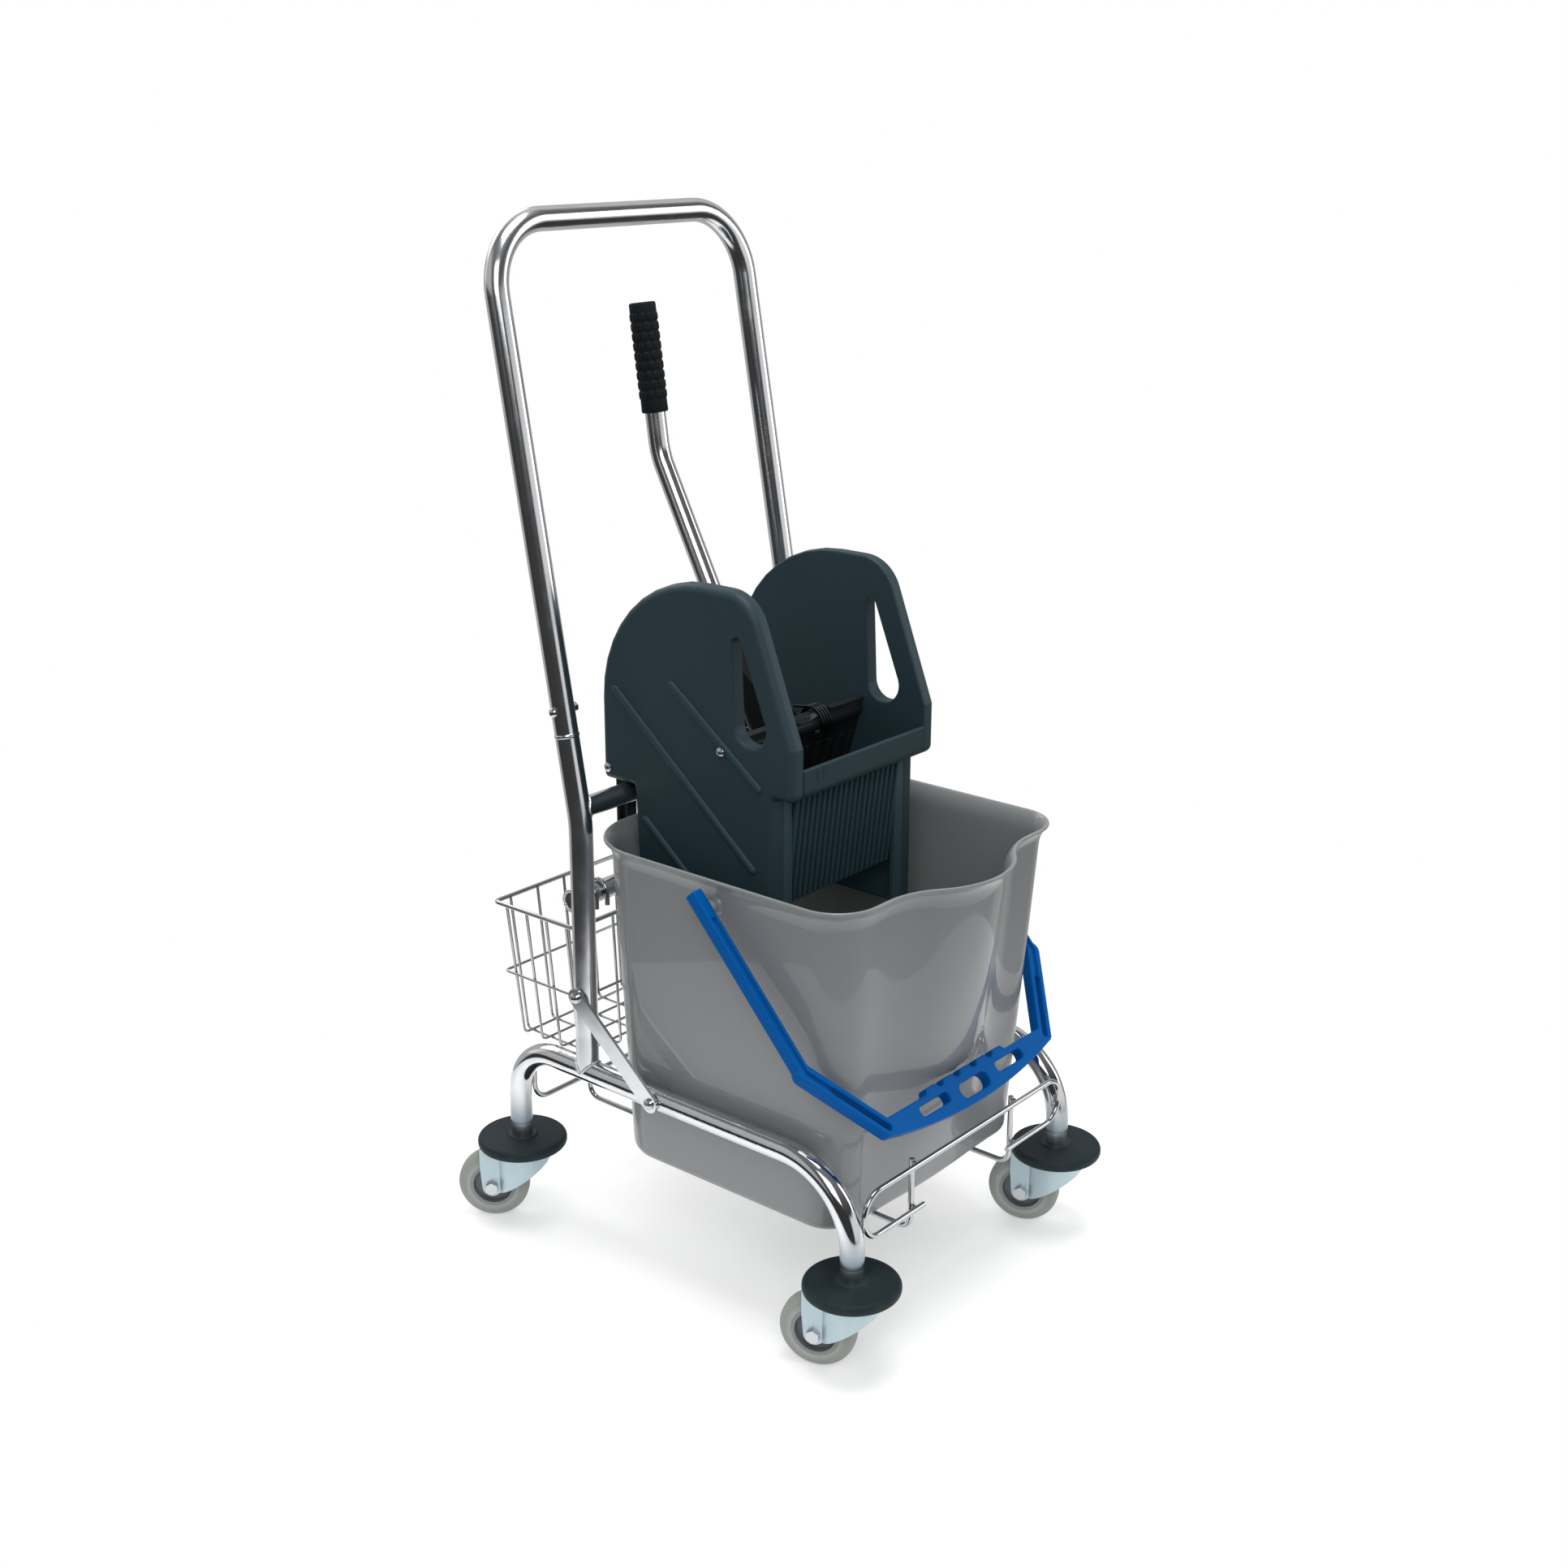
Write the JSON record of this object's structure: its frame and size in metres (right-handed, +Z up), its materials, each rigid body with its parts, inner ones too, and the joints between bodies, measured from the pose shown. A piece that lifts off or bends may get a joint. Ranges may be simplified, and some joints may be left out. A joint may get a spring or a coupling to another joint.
{
  "type": "cleaning trolley",
  "caption": "Single-bucket mop trolley with a chrome tube frame on swivel casters, a grey bucket, a dark lever press wringer, a blue bail and a wire basket",
  "frame": {"origin": "on the floor, midway between the four casters", "axes": "+Z up, +X right seen from the front, +Y to the rear where the push handle stands"},
  "size_m": [0.4709, 0.5844, 1.1065],
  "materials": {
    "chrome": "polished chrome plate on steel tube and wire",
    "zinc": "bright zinc plate, faintly blue",
    "bolt_steel": "bright plated fasteners and rods",
    "dark_steel": "dark caster stem",
    "bumper_rubber": "dark satin bumper",
    "tyre_rubber": "grey non-marking tyre",
    "wheel_plastic": "darker grey wheel centre",
    "bucket_plastic": "glossy mid grey moulding",
    "bail_plastic": "glossy blue moulding",
    "wringer_plastic": "very dark teal satin moulding",
    "black_plastic": "black satin moulding",
    "grip_rubber": "black knobbed hand grip"
  },
  "bodies": {
    "frame": {"left_rail": "chrome", "right_rail": "chrome", "left_upright": "chrome", "right_upright": "chrome", "upper_crossbar": "chrome", "lower_crossbar": "chrome", "push_handle": "chrome", "handle_bolts": "bolt_steel", "left_brace": "zinc", "right_brace": "zinc", "brace_bolts": "bolt_steel", "front_wire_loop": "chrome", "rear_wire_loop": "chrome", "left_support_wire": "chrome", "right_support_wire": "chrome", "front_left_caster_stem": "dark_steel", "front_left_bumper_disc": "bumper_rubber", "front_right_caster_stem": "dark_steel", "front_right_bumper_disc": "bumper_rubber", "rear_left_caster_stem": "dark_steel", "rear_left_bumper_disc": "bumper_rubber", "rear_right_caster_stem": "dark_steel", "rear_right_bumper_disc": "bumper_rubber"},
    "bucket_body": {"bucket": "bucket_plastic"},
    "bail_body": {"bail": "bail_plastic"},
    "basket_body": {"wire_basket": "chrome"},
    "wringer": {"left_side_plate": "wringer_plastic", "right_side_plate": "wringer_plastic", "press_grid": "wringer_plastic", "hook_brackets": "black_plastic", "tie_rods": "bolt_steel", "pivot_shaft": "bolt_steel", "return_spring": "dark_steel"},
    "press": {"press_jaw": "black_plastic", "lever_tube": "chrome", "lever_bolt": "bolt_steel", "lever_grip": "grip_rubber"},
    "front_left_swivel": {"front_left_caster_fork": "zinc", "front_left_axle_bolt": "bolt_steel"},
    "front_left_wheel": {"front_left_wheel_core": "wheel_plastic", "front_left_wheel_tyre": "tyre_rubber"},
    "front_right_swivel": {"front_right_caster_fork": "zinc", "front_right_axle_bolt": "bolt_steel"},
    "front_right_wheel": {"front_right_wheel_core": "wheel_plastic", "front_right_wheel_tyre": "tyre_rubber"},
    "rear_left_swivel": {"rear_left_caster_fork": "zinc", "rear_left_axle_bolt": "bolt_steel"},
    "rear_left_wheel": {"rear_left_wheel_core": "wheel_plastic", "rear_left_wheel_tyre": "tyre_rubber"},
    "rear_right_swivel": {"rear_right_caster_fork": "zinc", "rear_right_axle_bolt": "bolt_steel"},
    "rear_right_wheel": {"rear_right_wheel_core": "wheel_plastic", "rear_right_wheel_tyre": "tyre_rubber"}
  },
  "joints": [
    {"name": "front_left_swivel_turn", "type": "hinge", "parent": "frame", "child": "front_left_swivel", "pos_m": [-0.185, -0.236, 0.088], "axis": [0, 0, 1], "continuous": true},
    {"name": "front_left_wheel_roll", "type": "hinge", "parent": "front_left_swivel", "child": "front_left_wheel", "pos_m": [-0.1968, -0.20411, 0.04], "axis": [-0.9379, -0.3469, 0], "continuous": true},
    {"name": "front_right_swivel_turn", "type": "hinge", "parent": "frame", "child": "front_right_swivel", "pos_m": [0.185, -0.236, 0.088], "axis": [0, 0, 1], "continuous": true},
    {"name": "front_right_wheel_roll", "type": "hinge", "parent": "front_right_swivel", "child": "front_right_wheel", "pos_m": [0.17326, -0.20409, 0.04], "axis": [-0.9385, -0.3453, 0], "continuous": true},
    {"name": "rear_left_swivel_turn", "type": "hinge", "parent": "frame", "child": "rear_left_swivel", "pos_m": [-0.185, 0.236, 0.088], "axis": [0, 0, 1], "continuous": true},
    {"name": "rear_left_wheel_roll", "type": "hinge", "parent": "rear_left_swivel", "child": "rear_left_wheel", "pos_m": [-0.2057, 0.26297, 0.04], "axis": [-0.7934, -0.6088, 0], "continuous": true},
    {"name": "rear_right_swivel_turn", "type": "hinge", "parent": "frame", "child": "rear_right_swivel", "pos_m": [0.185, 0.236, 0.088], "axis": [0, 0, 1], "continuous": true},
    {"name": "rear_right_wheel_roll", "type": "hinge", "parent": "rear_right_swivel", "child": "rear_right_wheel", "pos_m": [0.1643, 0.26297, 0.04], "axis": [-0.7934, -0.6088, 0], "continuous": true},
    {"name": "bucket_lift", "type": "slide", "parent": "frame", "child": "bucket_body", "axis": [0, 0, 1], "range_m": [0, 0.015]},
    {"name": "bail_swing", "type": "hinge", "parent": "bucket_body", "child": "bail_body", "pos_m": [0, -0.055, 0.4513], "axis": [-1, 0, 0], "range_deg": [0, 115]},
    {"name": "basket_lift", "type": "slide", "parent": "frame", "child": "basket_body", "axis": [0, 0, 1], "range_m": [0, 0.04]},
    {"name": "wringer_lift", "type": "slide", "parent": "frame", "child": "wringer", "axis": [0, 0, 1], "range_m": [0, 0.2]},
    {"name": "press_lever", "type": "hinge", "parent": "wringer", "child": "press", "pos_m": [0, -0.011, 0.586], "axis": [-1, 0, 0], "range_deg": [0, 30], "stiffness_Nm_per_rad": 6, "springref_deg": -20.05, "deforming": ["return_spring"]}
  ]
}
